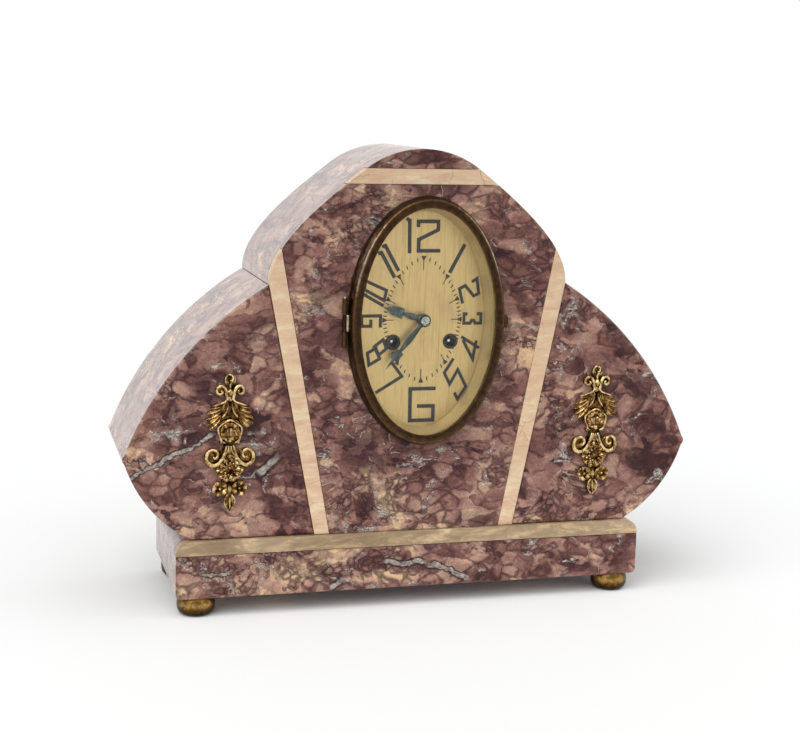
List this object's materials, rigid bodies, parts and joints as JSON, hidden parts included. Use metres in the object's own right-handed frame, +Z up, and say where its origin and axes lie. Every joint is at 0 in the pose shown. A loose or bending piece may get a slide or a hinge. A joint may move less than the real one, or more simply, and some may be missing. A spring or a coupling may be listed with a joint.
{
  "type": "mantel clock",
  "caption": "Mantel clock: arched marble centre block between two wings on a footed plinth, oval glazed dial, striking pendulum movement behind it.",
  "frame": {"origin": "centre of the bounding box in X and Y, at the feet's soles", "axes": "+X to the viewer's right along the clock's width, +Y into its depth away from the dial, +Z up"},
  "size_m": [0.4, 0.1288, 0.3143],
  "materials": {
    "marble": "polished veined mauve-brown marble",
    "onyx": "polished cream onyx with dark fine veins",
    "gilt_brass": "gilt cast brass, dark in the recesses",
    "patinated_brass": "dark patinated brass",
    "dial_gilt": "brushed champagne gilt",
    "brass": "polished lacquered brass",
    "blued_steel": "blued and faceted steel",
    "steel": "grained steel",
    "bell_metal": "nickelled bell metal",
    "glass": "clear flat glass"
  },
  "bodies": {
    "case": {"plinth": "marble", "centre_block": "marble", "wing_left": "marble", "wing_right": "marble", "plinth_strip": "onyx", "top_strip": "onyx", "side_strip_left": "onyx", "side_strip_right": "onyx", "foot_front_left": "gilt_brass", "foot_front_right": "gilt_brass", "foot_rear_left": "gilt_brass", "foot_rear_right": "gilt_brass", "floral_mount_left": "gilt_brass", "floral_mount_right": "gilt_brass", "dial_frame": "patinated_brass", "dial": "dial_gilt", "sight_ring": "dial_gilt", "bezel_hinge_pin": "brass", "rear_frame": "brass", "rear_hinge_pin": "brass", "front_plate": "brass", "back_plate": "brass", "rear_cock": "brass", "bell_nut": "brass", "strap_left": "steel", "strap_right": "steel", "suspension_spring": "steel", "bell_stand": "steel", "bell": "bell_metal"},
    "bezel_door": {"bezel": "patinated_brass", "bezel_glass": "glass"},
    "rear_cover": {"rear_door": "brass"},
    "minute_set": {"minute_hand": "blued_steel", "hand_nut": "steel", "cannon_pinion": "steel"},
    "hour_set": {"hour_hand": "blued_steel", "hour_wheel": "brass"},
    "minute_wheel_set": {"minute_wheel": "brass"},
    "going_arbor": {"winding_arbor_going": "steel"},
    "strike_arbor": {"winding_arbor_strike": "steel"},
    "going_click": {"click_going": "steel"},
    "strike_click": {"click_strike": "steel"},
    "going_drum": {"going_barrel": "brass"},
    "going_second": {"going_second_wheel": "brass"},
    "centre": {"centre_wheel": "brass"},
    "third": {"third_wheel": "brass"},
    "escape": {"escape_wheel": "brass"},
    "anchor_set": {"anchor": "steel"},
    "pendulum": {"pendulum_rod": "steel", "pendulum_bob": "brass", "rating_nut": "brass"},
    "strike_drum": {"strike_barrel": "brass"},
    "strike_second": {"strike_second_wheel": "brass", "count_wheel": "brass"},
    "pin": {"pin_wheel": "brass"},
    "locking": {"locking_wheel": "brass"},
    "fly_set": {"fly": "brass"},
    "hammer_set": {"hammer": "steel"}
  },
  "joints": [
    {"name": "bezel_hinge", "type": "hinge", "parent": "case", "child": "bezel_door", "pos_m": [-0.0534, -0.05805, 0.1986], "axis": [0, 0, -1], "range_deg": [0, 110]},
    {"name": "rear_door_hinge", "type": "hinge", "parent": "case", "child": "rear_cover", "pos_m": [-0.0526, 0.05715, 0.1986], "axis": [0, 0, 1], "range_deg": [0, 110]},
    {"name": "minute_turn", "type": "hinge", "parent": "case", "child": "minute_set", "pos_m": [0.0038, -0.05285, 0.1986], "axis": [0, 1, 0], "continuous": true},
    {"name": "hour_turn", "type": "hinge", "parent": "case", "child": "hour_set", "pos_m": [0.0038, -0.04985, 0.1986], "axis": [0, 1, 0], "continuous": true},
    {"name": "minute_wheel_turn", "type": "hinge", "parent": "case", "child": "minute_wheel_set", "pos_m": [0.0038, -0.03985, 0.2106], "axis": [0, 1, 0], "continuous": true},
    {"name": "going_winding", "type": "hinge", "parent": "case", "child": "going_arbor", "pos_m": [0.0242, -0.03485, 0.1834], "axis": [0, 1, 0], "range_deg": [0, 1620]},
    {"name": "strike_winding", "type": "hinge", "parent": "case", "child": "strike_arbor", "pos_m": [-0.0166, -0.03485, 0.1834], "axis": [0, -1, 0], "range_deg": [0, 1620]},
    {"name": "going_click_lift", "type": "hinge", "parent": "case", "child": "going_click", "pos_m": [0.0308, -0.03985, 0.19483], "axis": [0, -1, 0], "range_deg": [0, 12], "stiffness_Nm_per_rad": 0.0005, "springref_deg": -11.46},
    {"name": "strike_click_lift", "type": "hinge", "parent": "case", "child": "strike_click", "pos_m": [-0.0232, -0.03985, 0.19483], "axis": [0, 1, 0], "range_deg": [0, 12], "stiffness_Nm_per_rad": 0.0005, "springref_deg": -11.46},
    {"name": "third_turn", "type": "hinge", "parent": "case", "child": "third", "pos_m": [-0.00501, -0.00485, 0.21241], "axis": [0, 1, 0], "continuous": true},
    {"name": "centre_turn", "type": "hinge", "parent": "case", "child": "centre", "pos_m": [0.0038, -0.00785, 0.1986], "axis": [0, 1, 0], "continuous": true},
    {"name": "going_second_turn", "type": "hinge", "parent": "case", "child": "going_second", "pos_m": [0.02043, -0.01085, 0.20406], "axis": [0, 1, 0], "continuous": true},
    {"name": "going_drum_turn", "type": "hinge", "parent": "case", "child": "going_drum", "pos_m": [0.0242, -0.01985, 0.1834], "axis": [0, 1, 0], "continuous": true},
    {"name": "escape_turn", "type": "hinge", "parent": "case", "child": "escape", "pos_m": [0.0038, -0.01685, 0.2201], "axis": [0, 1, 0], "continuous": true},
    {"name": "pendulum_swing", "type": "hinge", "parent": "case", "child": "pendulum", "pos_m": [0.0038, 0.00815, 0.2341], "axis": [0, 1, 0], "range_deg": [-3.5, 3.5]},
    {"name": "anchor_swing", "type": "hinge", "parent": "case", "child": "anchor_set", "pos_m": [0.0038, -0.01585, 0.2341], "axis": [0, 1, 0], "range_deg": [-3.5, 3.5]},
    {"name": "locking_turn", "type": "hinge", "parent": "case", "child": "locking", "pos_m": [-0.01687, -0.01085, 0.21806], "axis": [0, 1, 0], "continuous": true},
    {"name": "pin_turn", "type": "hinge", "parent": "case", "child": "pin", "pos_m": [-0.02319, -0.02385, 0.2114], "axis": [0, 1, 0], "continuous": true},
    {"name": "strike_second_turn", "type": "hinge", "parent": "case", "child": "strike_second", "pos_m": [-0.02773, -0.03085, 0.20121], "axis": [0, 1, 0], "continuous": true},
    {"name": "strike_drum_turn", "type": "hinge", "parent": "case", "child": "strike_drum", "pos_m": [-0.0166, -0.01985, 0.1834], "axis": [0, 1, 0], "continuous": true},
    {"name": "fly_turn", "type": "hinge", "parent": "case", "child": "fly_set", "pos_m": [-0.01222, -0.02285, 0.2247], "axis": [0, 1, 0], "continuous": true},
    {"name": "hammer_lift", "type": "hinge", "parent": "case", "child": "hammer_set", "pos_m": [-0.0237, -0.01485, 0.2247], "axis": [0, 1, 0], "range_deg": [0, 12], "stiffness_Nm_per_rad": 0.005, "springref_deg": -5.73}
  ],
  "couplings": [
    {"joint": "minute_wheel_turn", "follows": "minute_turn", "ratio": -0.33333},
    {"joint": "hour_turn", "follows": "minute_turn", "ratio": 0.083333},
    {"joint": "centre_turn", "follows": "third_turn", "ratio": -0.083333},
    {"joint": "going_second_turn", "follows": "third_turn", "ratio": 0.013889},
    {"joint": "going_drum_turn", "follows": "third_turn", "ratio": -0.0023148},
    {"joint": "escape_turn", "follows": "third_turn", "ratio": -12},
    {"joint": "anchor_swing", "follows": "pendulum_swing", "ratio": 1},
    {"joint": "pin_turn", "follows": "locking_turn", "ratio": -0.125},
    {"joint": "strike_second_turn", "follows": "locking_turn", "ratio": 0.018519},
    {"joint": "strike_drum_turn", "follows": "locking_turn", "ratio": -0.0030864},
    {"joint": "fly_turn", "follows": "locking_turn", "ratio": -8}
  ]
}
